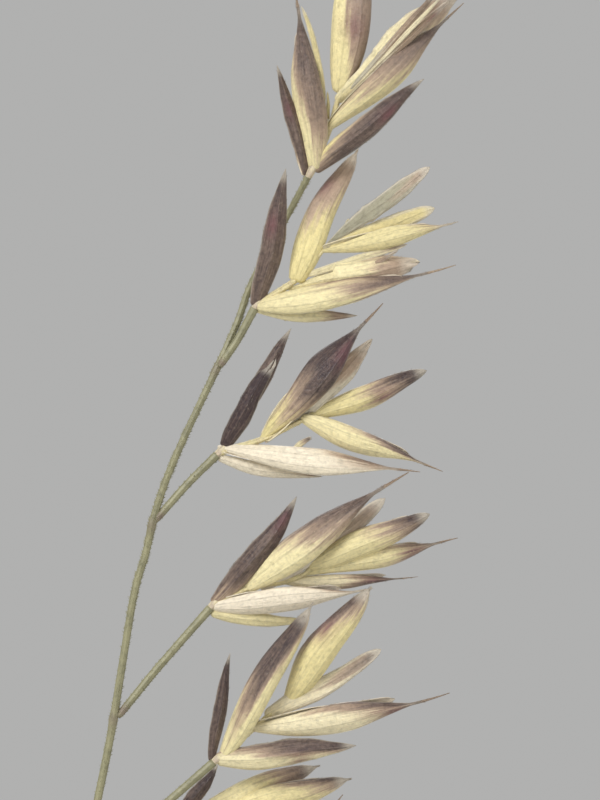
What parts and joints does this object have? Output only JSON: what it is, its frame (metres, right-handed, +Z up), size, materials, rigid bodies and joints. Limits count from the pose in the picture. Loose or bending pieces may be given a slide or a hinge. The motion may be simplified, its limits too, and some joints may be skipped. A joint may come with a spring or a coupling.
{
  "type": "potted fescue grass",
  "caption": "Clump of fine wiry grass in flower in a round tapered clay pot, with one tall open panicle of violet and straw spikelets standing above the others.",
  "frame": {"origin": "middle of the pot's flat underside, on the surface that it stands on", "axes": "+Z up along the pot's axis and the plant's height; +X to the right of the picture, the way that the tallest panicle leans; +Y away from the picture's camera"},
  "size_m": [0.2593, 0.268, 0.3966],
  "materials": {
    "clay": "matt unglazed terracotta",
    "potting_soil": "damp peat and bark compost",
    "leaf": "satin green leaf",
    "stem": "satin straw-green stem",
    "spikelet": "shining violet and straw chaff"
  },
  "bodies": {
    "root": {"pot": "clay", "soil": "potting_soil", "leafy_shoot_01": "leaf", "leafy_shoot_02": "leaf", "leafy_shoot_03": "leaf", "leafy_shoot_04": "leaf", "leafy_shoot_05": "leaf", "leafy_shoot_06": "leaf", "leafy_shoot_07": "leaf", "leafy_shoot_08": "leaf", "leafy_shoot_09": "leaf", "leafy_shoot_10": "leaf", "leafy_shoot_11": "leaf", "leafy_shoot_12": "leaf", "leafy_shoot_13": "leaf", "leafy_shoot_14": "leaf", "leafy_shoot_15": "leaf", "leafy_shoot_16": "leaf", "leafy_shoot_17": "leaf", "leafy_shoot_18": "leaf", "leafy_shoot_19": "leaf", "leafy_shoot_20": "leaf", "leafy_shoot_21": "leaf", "leafy_shoot_22": "leaf", "leafy_shoot_23": "leaf", "flowering_stem_1": "stem", "flowering_stem_2": "stem", "flowering_stem_3": "stem", "flowering_stem_4": "stem", "flowering_stem_5": "stem", "flowering_stem_6": "stem", "spikelet_01": "spikelet", "spikelet_02": "spikelet", "spikelet_03": "spikelet", "spikelet_04": "spikelet", "spikelet_05": "spikelet", "spikelet_06": "spikelet", "spikelet_07": "spikelet", "spikelet_08": "spikelet", "spikelet_09": "spikelet", "spikelet_10": "spikelet", "spikelet_11": "spikelet", "spikelet_12": "spikelet", "spikelet_13": "spikelet"}
  },
  "joints": []
}
